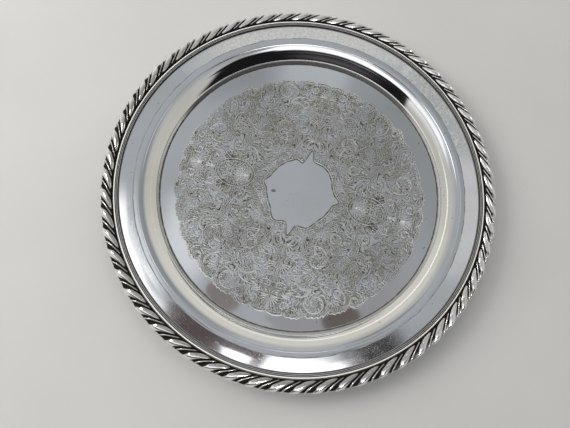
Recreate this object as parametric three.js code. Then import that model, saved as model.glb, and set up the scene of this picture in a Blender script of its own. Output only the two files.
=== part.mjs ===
// Round presentation salver: a sheet-metal dish with an engraved centre, a ring of two reeds and a
// gadroon border made of six stamped lengths, each filled with soft solder.
// Millimetres, +Z up. The origin is the centre of the underside, on the surface the salver stands on.
import * as THREE from 'three';

// ---- driving dimensions -------------------------------------------------------------------------
const OUTER_RADIUS = 155.5; // over the lobes of the border
const SHEET = 1.2; // thickness of the dish's sheet
const STEPS_ROUND = 72; // facets round a turned piece

const WELL_RADIUS = 113.4; // foot of the wall round the flat centre
const STEP_RADIUS = 117; // middle of the small step half way up the wall
const STEP_HEIGHT = 5.4;
const SHOULDER_RADIUS = 124.6; // where the wall turns over into the flange
const SHOULDER_HEIGHT = 12.9;
const FLANGE_BREAK = 130.5; // inside it the flange is nearly level, outside it climbs
const WIRE_SEAT = 15.3; // height of the flange where the reeded wire begins
const SEAT_RADIUS = 146.3; // inner foot of the gadroon border
const SEAT_HEIGHT = 16; // top of the sheet under the border
const SHEET_EDGE = 150.6; // cut edge of the dish, hidden under the border

const JOINT = 0.3; // clear gap left where two soldered pieces meet
const WIRE_INNER = 141.75; // the reeded wire lies between these two radii
const WIRE_OUTER = 145.9;

const UNITS = 60; // gadroons round the border
const LENGTHS = 6; // separate stampings that make it up
const UNIT_ANGLE = (2 * Math.PI) / UNITS;
const UNITS_EACH = UNITS / LENGTHS;
const FIRST_JOINT = THREE.MathUtils.degToRad(4.5); // direction of the first joint at the rim
const BORDER_WIDTH = OUTER_RADIUS - SEAT_RADIUS;
const LEAN_POWER = 1.5; // the gadroons lean over more and more towards the middle
const SKIN_FOOT = SEAT_HEIGHT + JOINT; // lower edge of the stamping inside the rim
const SKIRT_FOOT = 13.2; // lower edge of the stamping outside the rim

// ---- finishes -----------------------------------------------------------------------------------
const plate = new THREE.MeshStandardMaterial({ color: 0xc9cbcc, metalness: 1, roughness: 0.22 });
const border = new THREE.MeshStandardMaterial({ color: 0xbdbbb4, metalness: 1, roughness: 0.3 });
const solder = new THREE.MeshStandardMaterial({ color: 0x8c8c8a, metalness: 0.9, roughness: 0.6 });

// ---- helpers ------------------------------------------------------------------------------------
// A turned piece: section is a list of [radius, height], closed on itself or ending on the axis, that
// runs outwards along the upper side and back along the lower one.
function turned(section) {
  const points = section.map(([radius, height]) => new THREE.Vector2(radius, height));
  const geometry = new THREE.LatheGeometry(points.reverse(), STEPS_ROUND);
  return geometry.rotateX(Math.PI / 2);
}

// Points along a quadratic bend from one [radius, height] to another, without the first point.
function bend(from, control, to, pieces) {
  const curve = new THREE.QuadraticBezierCurve(
    new THREE.Vector2(...from),
    new THREE.Vector2(...control),
    new THREE.Vector2(...to),
  );
  return curve.getPoints(pieces).slice(1).map((point) => [point.x, point.y]);
}

function named(name, geometry, material) {
  const mesh = new THREE.Mesh(geometry, material);
  mesh.name = name;
  return mesh;
}

// ---- dish ---------------------------------------------------------------------------------------
// Upper side outwards from the centre: flat floor, crease, lower wall, step, upper wall, shoulder and
// flange, out to the cut edge under the border.
function dishTop() {
  const wallFoot = [WELL_RADIUS, SHEET + 0.2];
  const underStep = [STEP_RADIUS - 0.9, STEP_HEIGHT - 0.7];
  const overStep = [STEP_RADIUS + 0.7, STEP_HEIGHT + 0.4];
  const wallTop = [SHOULDER_RADIUS - 2, SHOULDER_HEIGHT - 1.6];
  const shoulder = [SHOULDER_RADIUS + 0.6, SHOULDER_HEIGHT];
  const flangeEnd = [WIRE_INNER, WIRE_SEAT];
  return [
    [0, SHEET],
    [WELL_RADIUS - 0.8, SHEET],
    wallFoot,
    ...bend(wallFoot, [WELL_RADIUS + 0.9, SHEET + 2.2], underStep, 3),
    ...bend(underStep, [STEP_RADIUS - 0.6, STEP_HEIGHT + 0.5], overStep, 3),
    ...bend(overStep, [STEP_RADIUS + 3.8, STEP_HEIGHT + 2.6], wallTop, 4),
    ...bend(wallTop, [SHOULDER_RADIUS - 0.9, SHOULDER_HEIGHT - 0.1], shoulder, 3),
    ...bend(shoulder, [FLANGE_BREAK, SHOULDER_HEIGHT + 0.1], flangeEnd, 5),
    [SEAT_RADIUS, SEAT_HEIGHT],
    [SHEET_EDGE, SEAT_HEIGHT],
  ];
}

// Underside from the cut edge back to the centre, one sheet's thickness below the upper side.
function dishUnderside() {
  const shoulder = [SHOULDER_RADIUS + 1, SHOULDER_HEIGHT - SHEET];
  const wallTop = [SHOULDER_RADIUS - 0.7, SHOULDER_HEIGHT - SHEET - 1.3];
  return [
    [SHEET_EDGE, SEAT_HEIGHT - SHEET],
    [SEAT_RADIUS + 0.2, SEAT_HEIGHT - SHEET],
    [WIRE_INNER + 0.2, WIRE_SEAT - SHEET],
    [FLANGE_BREAK + 1, SHOULDER_HEIGHT - SHEET + 0.2],
    shoulder,
    ...bend(shoulder, [SHOULDER_RADIUS, SHOULDER_HEIGHT - SHEET - 0.1], wallTop, 2),
    [STEP_RADIUS + 1.9, STEP_HEIGHT - 0.5],
    [STEP_RADIUS + 0.3, STEP_HEIGHT - 1.8],
    [WELL_RADIUS + 1.4, 0.8],
    [WELL_RADIUS - 0.2, 0],
    [0, 0],
  ];
}

function dish() {
  return turned([...dishTop(), ...dishUnderside()]);
}

// ---- reeded wire --------------------------------------------------------------------------------
// Two reeds side by side, the outer one bigger, with a groove between them.
function reededWire() {
  const foot = [WIRE_INNER, WIRE_SEAT + JOINT];
  const groove = [143.5, 16.15];
  return turned([
    foot,
    ...bend(foot, [WIRE_INNER + 0.6, 17.2], groove, 3),
    ...bend(groove, [144.1, 17.9], [WIRE_OUTER, SEAT_HEIGHT + 0.6], 4),
    [WIRE_OUTER, SEAT_HEIGHT + JOINT],
    foot,
  ]);
}

// ---- gadroon border -----------------------------------------------------------------------------
// How far, in units, a gadroon has leant round the rim when it reaches a given radius.
function lean(radius) {
  const inwards = THREE.MathUtils.clamp((OUTER_RADIUS - radius) / BORDER_WIDTH, 0, 1);
  return inwards ** LEAN_POWER;
}

// A point of the border: unit counts gadroons from the first joint of its length.
function borderPoint(index, unit, radius, height) {
  const start = FIRST_JOINT + index * UNITS_EACH * UNIT_ANGLE;
  const angle = start + (unit + lean(radius)) * UNIT_ANGLE;
  return [radius * Math.cos(angle), radius * Math.sin(angle), height];
}

// Stations across one unit, as [share of the unit, height of the relief there from 0 to 1]: groove,
// narrow reed, groove, then the rise, top and fall of the wide lobe.
const RELIEF = [
  [0, 0],
  [0.12, 0.6],
  [0.25, 0.05],
  [0.4, 0.75],
  [0.6, 1],
  [0.83, 0.72],
];

// Outside of the stamping over a lobe, inner foot to skirt: [radius, height, depth of the grooves].
const SKIN_OUTSIDE = [
  [SEAT_RADIUS, SKIN_FOOT, 0],
  [SEAT_RADIUS + 0.3, 17.9, 0.4],
  [148.6, 19.1, 0.95],
  [151.6, 18.9, 1.1],
  [154.1, 17.2, 1.1],
  [OUTER_RADIUS, 14.9, 1.1],
  [OUTER_RADIUS - 0.5, SKIRT_FOOT, 0.7],
];
const CORE = [151, 15.5]; // the grooves are sunk towards this point of the section

// Inside of the stamping, skirt back to inner foot. It is plain, a smooth channel.
const SKIN_INSIDE = [
  [153.7, SKIRT_FOOT],
  [153.5, 14.6],
  [152.9, 16],
  [151.2, 17.2],
  [148.8, 17.4],
  [147.3, 17.1],
  [147, SKIN_FOOT],
];

// Filling of soft solder: follows the channel a joint's width away and rests over the sheet's edge.
const FILL_SECTION = [
  [147.4, SKIN_FOOT],
  [147.6, 16.75],
  [148.9, 17.05],
  [151, 16.9],
  [152.5, 15.8],
  [153.1, 14.5],
  [153.3, SKIRT_FOOT + JOINT],
  [SHEET_EDGE + 0.45, SKIRT_FOOT + JOINT],
  [SHEET_EDGE + 0.45, SKIN_FOOT],
];

// Sinks a point of the outside by the relief at that station.
function sunk([radius, height, depth], relief) {
  const drop = depth * (1 - relief);
  const towards = height === SKIRT_FOOT ? [CORE[0] - radius, 0] : [CORE[0] - radius, CORE[1] - height];
  const reach = Math.hypot(...towards);
  return [radius + (towards[0] / reach) * drop, height + (towards[1] / reach) * drop];
}

// One rail for each point of a section, running the whole length from joint to joint.
function rail(index, stations, place) {
  const clear = JOINT / 2 / (OUTER_RADIUS * UNIT_ANGLE);
  return stations.map(([unit, relief]) => {
    const [radius, height] = place(relief);
    const kept = THREE.MathUtils.clamp(unit, clear, UNITS_EACH - clear);
    return borderPoint(index, kept, radius, height);
  });
}

// Closes a ring of rails into a solid. Neighbouring rails may have a different number of stations, as
// long as one number divides the other.
function solidFromRails(rails, endSection) {
  const positions = [];
  const triangles = [];
  const starts = rails.map((points) => {
    const first = positions.length / 3;
    positions.push(...points.flat());
    return first;
  });
  rails.forEach((points, which) => {
    const next = (which + 1) % rails.length;
    stitch(triangles, starts[which], points.length, starts[next], rails[next].length);
  });
  const outline = endSection.map(([radius, height]) => new THREE.Vector2(radius, height));
  const cap = THREE.ShapeUtils.triangulateShape(outline, []);
  const turn = THREE.ShapeUtils.isClockWise(outline) ? 1 : -1;
  cap.forEach(([a, b, c]) => {
    const near = [starts[a], starts[b], starts[c]];
    const far = [a, b, c].map((which) => starts[which] + rails[which].length - 1);
    triangles.push(...(turn > 0 ? near : near.reverse()));
    triangles.push(...(turn > 0 ? far.reverse() : far));
  });
  const geometry = new THREE.BufferGeometry();
  geometry.setAttribute('position', new THREE.Float32BufferAttribute(positions, 3));
  geometry.setIndex(triangles);
  geometry.computeVertexNormals();
  return geometry;
}

// Fills the strip between two rails with triangles.
function stitch(triangles, startA, countA, startB, countB) {
  const cells = Math.min(countA, countB) - 1;
  const fineA = (countA - 1) / cells;
  const fineB = (countB - 1) / cells;
  for (let cell = 0; cell < cells; cell += 1) {
    const a = startA + cell * fineA;
    const b = startB + cell * fineB;
    const half = Math.floor(fineA / 2);
    for (let step = 0; step < fineA; step += 1) {
      const apex = step < half ? b : b + fineB;
      if (step === half) addFan(triangles, b, fineB, a + step);
      triangles.push(a + step, apex, a + step + 1);
    }
  }
}

// Triangles from one point of the first rail to a run of steps of the second.
function addFan(triangles, startB, steps, a) {
  for (let step = 0; step < steps; step += 1) {
    triangles.push(a, startB + step, startB + step + 1);
  }
}

// Every station of a length: fine ones across each gadroon, or one for each unit.
function stationsAlong(pattern) {
  const stations = [];
  for (let unit = 0; unit < UNITS_EACH; unit += 1) {
    pattern.forEach(([share, relief]) => stations.push([unit + share, relief]));
  }
  stations.push([UNITS_EACH, pattern[0][1]]);
  return stations;
}

function gadroonLength(index) {
  const fine = stationsAlong(RELIEF);
  const plain = stationsAlong([[0, 0]]);
  const outside = SKIN_OUTSIDE.map((point) => rail(index, fine, (relief) => sunk(point, relief)));
  const inside = SKIN_INSIDE.map((point) => rail(index, plain, () => point));
  const endSection = [...SKIN_OUTSIDE.map((point) => sunk(point, 0)), ...SKIN_INSIDE];
  return solidFromRails([...outside, ...inside], endSection);
}

function solderFill(index) {
  const plain = stationsAlong([[0, 0]]);
  const rails = FILL_SECTION.map((point) => rail(index, plain, () => point));
  return solidFromRails(rails, FILL_SECTION);
}

// ---- assembly -----------------------------------------------------------------------------------
const salver = new THREE.Group();
salver.add(named('dish', dish(), plate));
salver.add(named('reeded_wire', reededWire(), border));
for (let index = 0; index < LENGTHS; index += 1) {
  salver.add(named(`gadroon_length_${index + 1}`, gadroonLength(index), border));
  salver.add(named(`solder_fill_${index + 1}`, solderFill(index), solder));
}

export default salver;
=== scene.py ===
"""Looks of the round engraved salver: a polished dish, a flat-chased centre, two reeds and a gadroon
border, seen from above on a plain pale table. Lengths of the shapes are millimetres up to the mesh helpers,
which turn them into the metres of the row frame; materials, camera, table and light are in metres."""
import functools
import math
import random

import bpy
import numpy as np
from mathutils import Matrix, Vector


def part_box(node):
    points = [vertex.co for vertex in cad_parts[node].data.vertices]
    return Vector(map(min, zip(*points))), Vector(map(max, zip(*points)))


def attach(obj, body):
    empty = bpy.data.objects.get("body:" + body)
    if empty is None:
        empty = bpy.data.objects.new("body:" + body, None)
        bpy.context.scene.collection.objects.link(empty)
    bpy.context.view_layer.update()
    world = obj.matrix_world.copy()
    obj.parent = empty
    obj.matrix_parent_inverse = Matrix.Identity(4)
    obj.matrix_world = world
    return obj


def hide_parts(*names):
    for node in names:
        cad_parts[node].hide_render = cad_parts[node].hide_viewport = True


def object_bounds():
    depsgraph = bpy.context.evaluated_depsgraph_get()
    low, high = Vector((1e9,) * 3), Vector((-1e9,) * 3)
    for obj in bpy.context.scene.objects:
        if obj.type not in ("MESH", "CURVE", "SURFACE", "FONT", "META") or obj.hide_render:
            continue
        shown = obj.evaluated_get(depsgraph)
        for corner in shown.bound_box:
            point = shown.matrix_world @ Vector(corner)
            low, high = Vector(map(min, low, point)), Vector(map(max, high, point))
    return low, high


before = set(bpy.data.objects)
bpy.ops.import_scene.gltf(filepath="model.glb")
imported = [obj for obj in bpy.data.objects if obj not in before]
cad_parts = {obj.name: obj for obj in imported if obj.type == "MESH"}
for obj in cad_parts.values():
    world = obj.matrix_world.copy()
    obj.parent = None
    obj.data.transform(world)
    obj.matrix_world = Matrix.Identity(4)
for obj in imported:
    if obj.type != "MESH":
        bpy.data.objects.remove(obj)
CAD_LOW, CAD_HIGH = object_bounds()

MM = 0.001
OUTER = (CAD_HIGH.x - CAD_LOW.x) / 2 / MM - 0.02  # crests of the border, just inside the CAD box
TOP = CAD_HIGH.z / MM - 0.02
WIRE_LOW, WIRE_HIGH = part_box("reeded_wire")

# ---- dimensions of the dish and its centre ----
FLOOR = 1.2  # upper side of the flat centre
CREASE = 113.4  # radius where the wall rises
SHEET_EDGE = 150.6
STEPS_ROUND = 360

AXIS = math.radians(163)  # direction of the cartouche's long axis
PATTERN_AT = (0.0, -2.8)  # the engraving sits a little off the dish's centre
OUTLINE_RADIUS = 98.6
OUTLINE_BREAKS = (0, 8, 21, 32, 43, 52, 62, 73, 82, 90)  # degrees where arches of the outline meet
# Edge of the blank centre: a round body that swells or sinks at places given as (degrees from the long
# axis, millimetres outwards, degrees to either side).
CARTOUCHE_BODY = 27.3
CARTOUCHE_POINTS = ((0, 3.5, 8), (180, 4.5, 7))
CARTOUCHE_HORNS = ((89, 10.5, 5), (270, 9.5, 4.5))
CARTOUCHE_SHOULDERS = ((62, 4.5, 12), (114, 3, 14), (240, 1, 12))
CARTOUCHE_HOLLOWS = ((203, -1.5, 12), (283, -3, 5))
CARTOUCHE_CURLS = ((20, 1.4), (48, 1.6), (75, 1.8), (100, 2.0), (124, 1.3), (146, 1.5), (163, 1.2),
                   (192, 2.0), (208, 1.3), (222, 1.7), (243, 1.2), (258, 2.1), (283, 2.2), (300, 1.6),
                   (322, 1.4), (341, 1.7))  # (degrees, radius) of the small scrolls along it
GROUND_TOP = FLOOR + 0.05  # the chased ground stands this high
GROUND_FOOT = FLOOR + 0.012
LINE_FOOT = FLOOR + 0.03

# ---- dimensions of the border ----
LENGTHS = 6
UNITS_EACH = 10
UNIT = math.radians(6)
FIRST_JOINT = math.radians(4.5)
BORDER_WIDTH = 10.3
LEAN_POWER = 1.7
JOINT_GAP = 0.12


# ---- mesh helpers ----
def into_scene(name, data):
    thing = bpy.data.objects.new(name, data)
    bpy.context.scene.collection.objects.link(thing)
    return thing


def solid(name, vertices, faces, sharp=35):
    """Mesh from millimetre vertices, smooth except over edges sharper than so many degrees."""
    mesh = bpy.data.meshes.new(name)
    mesh.from_pydata((np.asarray(vertices) * MM).tolist(), [], faces)
    mesh.shade_smooth()
    mesh.set_sharp_from_angle(angle=math.radians(sharp))
    return into_scene(name, mesh)


def grid_faces(rows, columns, close_rows=False, close_columns=False, start=0):
    """Quads of a grid of vertices laid out row by row, facing row direction cross column direction."""
    faces = []
    for i in range(rows if close_rows else rows - 1):
        low, high = start + i * columns, start + (i + 1) % rows * columns
        for j in range(columns if close_columns else columns - 1):
            k = (j + 1) % columns
            faces.append((low + j, high + j, high + k, low + k))
    return faces


def smooth_chain(points, rounds, ends=1):
    """Rounds the corners of an evenly stepped chain of points."""
    chain = np.array(points, float)
    for _ in range(rounds):
        inner = (chain[:-2] + 2 * chain[1:-1] + chain[2:]) / 4
        chain = np.vstack([chain[:ends], inner, chain[-ends:]])
    return chain


def bend(start, control, end, count):
    """Curve from start to end, pulled towards control, without its first point."""
    t = np.linspace(0, 1, count + 1)[1:, None]
    start, control, end = (np.array(p, float) for p in (start, control, end))
    return (1 - t) ** 2 * start + 2 * t * (1 - t) * control + t**2 * end


def path(start, *bends):
    """Curves end to end, each given as its control point, its end and how many points it has."""
    chain = []
    for control, end, count in bends:
        chain.append(bend(start, control, end, count))
        start = end
    return np.vstack(chain)


def stepped(points, step):
    """The chain again with its points an even step apart."""
    points = np.array(points, float)
    along = np.r_[0, np.cumsum(np.hypot(*np.diff(points, axis=0).T))]
    wanted = np.linspace(0, along[-1], max(2, round(along[-1] / step) + 1))
    return np.c_[np.interp(wanted, along, points[:, 0]), np.interp(wanted, along, points[:, 1])]


def turned(name, section, wave=None):
    """Turned solid from [radius, height] points, outwards over the top and back underneath. A section
    that starts and ends on the axis is closed there by a point; any other closes on itself."""
    section = np.array(section, float)
    on_axis = section[0, 0] < 1e-6
    rings = section[1:-1] if on_axis else section
    angles = np.arange(STEPS_ROUND) * 2 * math.pi / STEPS_ROUND
    radius, height = rings[:, :1], rings[:, 1:]
    x, y = radius * np.cos(angles), radius * np.sin(angles)
    z = height + 0 * x
    if wave:
        z = z + wave(x, y, radius + 0 * x)
    vertices = np.stack([x, y, z], -1).reshape(-1, 3)
    faces = grid_faces(len(rings), STEPS_ROUND, close_rows=not on_axis, close_columns=True)
    if on_axis:
        last = (len(rings) - 1) * STEPS_ROUND
        top, under = len(vertices), len(vertices) + 1
        vertices = np.vstack([vertices, [0, 0, section[0, 1]], [0, 0, section[-1, 1]]])
        for j in range(STEPS_ROUND):
            k = (j + 1) % STEPS_ROUND
            faces.append((top, j, k))
            faces.append((last + j, under, last + k))
    return solid(name, vertices, faces)


# ---- dish ----
def hammered(x, y, radius):
    """Slow unevenness of spun and hand-planished sheet, upper side only and none under the border."""
    slow = np.sin(0.043 * x + 0.031 * y + 1.1) * np.cos(0.037 * y - 0.021 * x)
    quick = np.sin(0.093 * x - 0.071 * y + 0.4) * np.sin(0.081 * y + 0.059 * x + 2.0)
    fade = np.clip((141.5 - radius) / 6, 0, 1) * np.clip((radius - 30) / 60, 0.25, 1)
    return (0.045 * slow + 0.022 * quick) * fade


def dish_section():
    """Section of the dish as floor, wall, flange, seat of the border, and underside."""
    foot, shoulder = (CREASE, FLOOR + 0.2), (127.6, 12.95)
    top = np.vstack([
        [[CREASE - 1.6, FLOOR], [CREASE - 0.6, FLOOR], foot],
        path(foot, ((114.4, 2.9), (115.2, 3.75), 24), ((115.35, 4.15), (115.8, 4.36), 12),
             ((118.0, 6.8), (120.8, 9.25), 24), ((123.7, 12.2), shoulder, 36)),
    ])
    wall = smooth_chain(stepped(top, 0.16), 3)
    flange = path(shoulder, ((129.0, 13.1), (130.6, 13.2), 6), ((131.0, 13.24), (131.5, 13.33), 4),
                  ((136.4, 14.17), (141.2, 15.15), 14))
    seat = np.array([[146.3, 15.95], [150.2, 16.0], [SHEET_EDGE, 15.7]])
    floor = np.array([[0, FLOOR]] + [[r, FLOOR] for r in (12, 30, 50, 70, 90, 105)])
    under = np.vstack([
        [[SHEET_EDGE, 15.1], [150.2, 14.8], [146.5, 14.75], [141.5, 14.0]],
        path((141.5, 14.0), ((131.4, 12.0), (128.0, 11.75), 10), ((124.6, 11.0), (121.8, 8.2), 10),
             ((120.4, 6.7), (118.8, 4.9), 6), ((117.6, 4.8), (117.2, 3.6), 6),
             ((115.5, 2.2), (114.7, 0.8), 6), ((114.2, 0.0), (112.9, 0.0), 6)),
        [[90, 0.0], [50, 0.0], [0, 0.0]],
    ])
    return floor, wall, flange, seat, under


def make_dish():
    floor, wall, flange, seat, under = dish_section()
    section = np.vstack([floor, wall, flange, seat, under])
    upper = len(floor) + len(wall) + len(flange) + len(seat)

    def wave(x, y, radius):
        moved = hammered(x, y, radius)
        moved[upper - 1:] = 0  # the underside stays flat; the section's first point has no ring
        return moved

    piece = turned("dish_body", section, wave)
    piece.data.materials.append(polished_dish)
    piece.data.materials.append(dull_underside)
    for face in piece.data.polygons:
        if face.normal.z < -0.05:
            face.material_index = 1
    return piece


# ---- engraving ----
def fold(degrees):
    """Direction folded into one quarter of the pattern: 0 on the long axis, 90 on the short one."""
    return abs((degrees + 90) % 180 - 90)


def outline_radius(degrees):
    """Arched outline of the engraving, ragged with leaf tips away from the long axis."""
    folded = fold(degrees)
    for low, high in zip(OUTLINE_BREAKS, OUTLINE_BREAKS[1:]):
        if folded <= high:
            break
    arch = max(0.0, math.sin(math.pi * (folded - low) / (high - low))) ** 0.55
    teeth = (folded * 0.42 % 1.0) ** 1.6 if 21 < folded < 82 else 0.0
    return OUTLINE_RADIUS + (3.6 if low in (0, 8) else 2.2) * arch + 1.1 * teeth


def cartouche_radius(degrees):
    """Edge of the blank centre: a round with a point at each side and a horn above and below."""
    radius = CARTOUCHE_BODY
    for at, rise, width in CARTOUCHE_POINTS + CARTOUCHE_HORNS + CARTOUCHE_SHOULDERS + CARTOUCHE_HOLLOWS:
        away = (degrees - at + 180) % 360 - 180
        radius += rise * math.exp(-((away / width) ** 2))
    return radius


def polar(radius, degrees):
    angle = math.radians(degrees)
    return np.array([radius * math.cos(angle), radius * math.sin(angle)])


def volute(centre, start, radius, end_radius, turns, count, width):
    """Spiral line winding in, fullest half way. Negative turns wind clockwise."""
    t = np.linspace(0, 1, count)
    r = radius + (end_radius - radius) * t**0.85
    angle = start + 2 * math.pi * turns * t
    points = np.c_[centre[0] + r * np.cos(angle), centre[1] + r * np.sin(angle)]
    return points, width * (0.3 + 0.7 * np.sin(math.pi * t**0.7) ** 0.8)


def comma(start, heading, length, turn, count, width):
    """Leaf cut with one push of the graver: thin, then full, turning by so many radians."""
    t = np.linspace(0, 1, count)
    angle = heading + turn * t**1.4
    steps = np.c_[np.cos(angle), np.sin(angle)] * length / (count - 1)
    points = np.vstack([[0, 0], np.cumsum(steps[:-1], axis=0)]) + start
    return points, width * (0.18 + 0.82 * np.sin(math.pi * t**1.6) ** 0.9)


def scroll(rng, centre, radius, turn, start):
    """Volute with leaves along it, inside and out."""
    big = radius > 5
    turns = (1.45 if big else 1.15) * turn
    end = radius * (0.16 if big else 0.25)
    width = min(0.95, 0.42 + 0.055 * radius)
    strokes = [volute(centre, start, radius * 0.92, end, turns, int(26 + 1.8 * radius), width)]
    leaves = int(3 + radius * 0.9)
    for k in range(leaves):
        share = 0.08 + 0.62 * k / leaves
        r = radius * 0.92 + (end - radius * 0.92) * share**0.85
        angle = start + 2 * math.pi * turns * share
        foot = np.array(centre) + r * np.array([math.cos(angle), math.sin(angle)])
        heading = angle + turn * (math.pi / 2 + (0.75 if k % 2 else 0.5))
        length = radius * (0.34 if share < 0.45 else 0.24) * (0.9 + 0.3 * rng.random())
        strokes.append(comma(foot, heading, length, turn * 1.5, 7, width * 0.95))
    return strokes


def palmette(foot, heading, radius, leaves, spread, width):
    """Half a fan of leaves; its mirror image completes it."""
    strokes = []
    for k in range(leaves // 2 + 1):
        side = 2 * k / (leaves - 1)
        length = radius * (1 - 0.35 * side)
        strokes.append(comma(np.array(foot), heading - side * spread, length, -side * 0.8, 8, width))
    return strokes


class Cover:
    """Remembers where strokes run, so that new ones keep their distance."""

    def __init__(self):
        self.spots = {}

    def add(self, points):
        for x, y in points:
            self.spots.setdefault((int(x), int(y)), []).append((x, y))

    def near(self, x, y, distance):
        i, j, reach = int(x), int(y), int(distance) + 1
        for a in range(i - reach, i + reach + 1):
            for b in range(j - reach, j + reach + 1):
                for px, py in self.spots.get((a, b), ()):
                    if (px - x) ** 2 + (py - y) ** 2 < distance * distance:
                        return True
        return False


def on_ground(x, y, margin):
    rho, degrees = math.hypot(x, y), math.degrees(math.atan2(y, x))
    blank = max(cartouche_radius(turn + side * degrees) for turn in (0, 180) for side in (1, -1))
    return blank + margin < rho < outline_radius(degrees) - 2.2 - margin


def growth(x, y, eyes):
    """Direction in which leaves grow at a point: round the nearest eyes and a little outwards."""
    u, v = 0.003 * y, 0.15
    for (cx, cy), radius, turn, _ in eyes:
        dx, dy = x - cx, y - cy
        d = math.hypot(dx, dy) + 1e-6
        pull = 2 * math.exp(-((d / (1.9 * radius)) ** 2)) + 0.3 * (radius / d) ** 2 / (1 + (d / 25) ** 2)
        u += pull * (0.45 * dx - dy * turn) / d
        v += pull * (0.45 * dy + dx * turn) / d
    return math.atan2(v, u)


def leaf_filling(rng, eyes, cover):
    """Leaves of three sizes in the room that is left, each following the growth round the eyes."""
    strokes = []
    for gap, tries, longest in ((1.65, 2600, 13), (1.35, 3200, 8), (1.1, 5200, 5)):
        for _ in range(tries):
            x, y = rng.uniform(0, 102), rng.uniform(0, 102)
            if min(x, y) < 0.5 or not on_ground(x, y, 0.7) or cover.near(x, y, gap):
                continue
            points, hook = [(x, y)], rng.choice((-1, 1)) * rng.uniform(0.05, 0.16)
            step, reach = 0.7, rng.uniform(0.45, 1) * longest
            turned_by = 0
            for k in range(int(reach / step)):
                turned_by += hook * (1.9 if k * step > 0.5 * reach else 0.4)
                angle = growth(x, y, eyes) + turned_by
                x, y = x + step * math.cos(angle), y + step * math.sin(angle)
                if min(x, y) < 0.4 or not on_ground(x, y, 0.5) or cover.near(x, y, gap * 0.72):
                    break
                points.append((x, y))
            if len(points) < 4:
                continue
            cover.add(points)
            t = np.linspace(0, 1, len(points))
            width = 0.5 * gap + 0.03 * len(points)
            strokes.append((np.array(points), width * (0.2 + 0.8 * np.sin(math.pi * t**1.3) ** 0.8)))
    return strokes


# Big C-strokes as (start, heading in degrees, length, turn in radians, width); the eyes of the scrolls
# as (centre, radius, winding, first direction in degrees). One quarter of the pattern, long axis along x.
C_STROKES = (((14, 68), 60, 20, -2.0, 2.7), ((17, 82), 0, 17, -1.6, 2.2), ((68, 40), 60, 16, 2.0, 2.4),
             ((41, 16), 75, 15, -1.4, 2.2), ((25, 33), 115, 15, -1.5, 2.2), ((47, 66), 15, 17, 1.7, 2.5),
             ((83, 44), 85, 13, 1.3, 2.0), ((68, 9), 60, 14, -1.6, 2.2), ((42, 42), -20, 14, 1.5, 2.2))
EYES = (((27, 50), 13.0, 1, 200), ((52, 53), 11.0, -1, 20), ((79, 31), 11.5, 1, 230),
        ((35, 83), 10.5, -1, 180), ((12, 92), 5.5, -1, 90), ((90, 11), 5.5, -1, 90),
        ((64, 73), 8.5, 1, 250), ((37, 31), 7.5, -1, 90), ((12, 53), 5.0, 1, 0),
        ((60, 24), 7.0, 1, 90), ((17, 75), 4.5, 1, 30), ((50, 71), 5.0, 1, 10),
        ((92, 24), 3.6, -1, 10), ((76, 52), 6.5, -1, 130), ((73, 12), 4.8, -1, 200))
OVAL = (56, 15.5, 10.8)  # frame on the long axis: centre, half length, half width
PALMETTES = (((44, 0.6), 0, 12, 11), ((84, 0.6), 0, 11, 11), ((73.5, 0.6), 0, 8, 9),
             ((0.6, 44), 90, 11, 9), ((0.6, 60), 90, 14, 11), ((0.6, 86), 90, 11, 11))


def outline_strokes():
    """Arches of the outline, a thin line inside them, ticks between and a curl where two meet."""
    lines, ticks = [], []
    for low, high in zip(OUTLINE_BREAKS, OUTLINE_BREAKS[1:]):
        span = high - low
        angles = np.linspace(low, high, int(4 + span * 1.6))
        arch = np.sin(math.pi * np.linspace(0, 1, len(angles))) ** 0.6
        lines.append((np.array([polar(outline_radius(a) - 0.5, a) for a in angles]), 0.55 + 0.6 * arch))
        inner = np.array([polar(outline_radius(a) - 2.3, a) for a in angles[1:-1]])
        lines.append((inner, np.full(len(inner), 0.5)))
        count = int(span * 0.9)
        for k in range(1, count):
            a = low + span * k / count
            foot = polar(outline_radius(a) - 2.4, a)
            ticks.append(comma(foot, math.radians(a + 200), 2.0, 1.2, 5, 0.5))
        for k in range(int(span / 2.3)):
            a = low + 2.3 * k + 1
            tip = polar(outline_radius(a) - 0.9, a)
            ticks.append(comma(tip, math.radians(a - 62), 2.4, 1.5, 6, 0.55))
        if low > 0:
            lines.append(volute(polar(98.2, low), math.radians(low + 30), 1.7, 0.4, 0.9, 10, 0.6))
    return lines, ticks


def quarter_pattern():
    """Strokes of one quarter: dark cuts, bright lines, scrolls and the leaves that fill the rest."""
    rng = random.Random(7)
    lines, fine = outline_strokes()
    cuts = []
    t = np.linspace(0, math.pi, 46)
    centre, half_long, half_wide = OVAL
    for inset, width, side in ((-0.8, 0.5, lines), (0, 0.9, cuts), (1.6, 0.4, lines)):
        oval = np.c_[centre + (half_long - inset) * np.cos(t), (half_wide - inset) * np.sin(t)]
        side.append((oval, width * (0.45 + 0.55 * np.abs(np.sin(t * 1.5)))))
    for foot, heading, radius, leaves in PALMETTES:
        fine += palmette(foot, math.radians(heading), radius, leaves, 1.22, 0.9)
    for start, heading, length, turn, width in C_STROKES:
        lines.append(comma(np.array(start, float), math.radians(heading), length, turn, 16, width))
    cover = Cover()
    for points, _ in cuts + lines + fine:
        cover.add(points)
    for eye, radius, turn, start in EYES:
        strokes = scroll(rng, eye, radius, turn, math.radians(start))
        fine += strokes
        for points, _ in strokes:
            cover.add(points)
    return cuts, lines, fine, leaf_filling(rng, EYES, cover)


def on_axis(points):
    """Points of the pattern turned onto its long axis and moved to its middle."""
    c, s = math.cos(AXIS), math.sin(AXIS)
    return points @ np.array([[c, s], [-s, c]]) + PATTERN_AT


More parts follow.
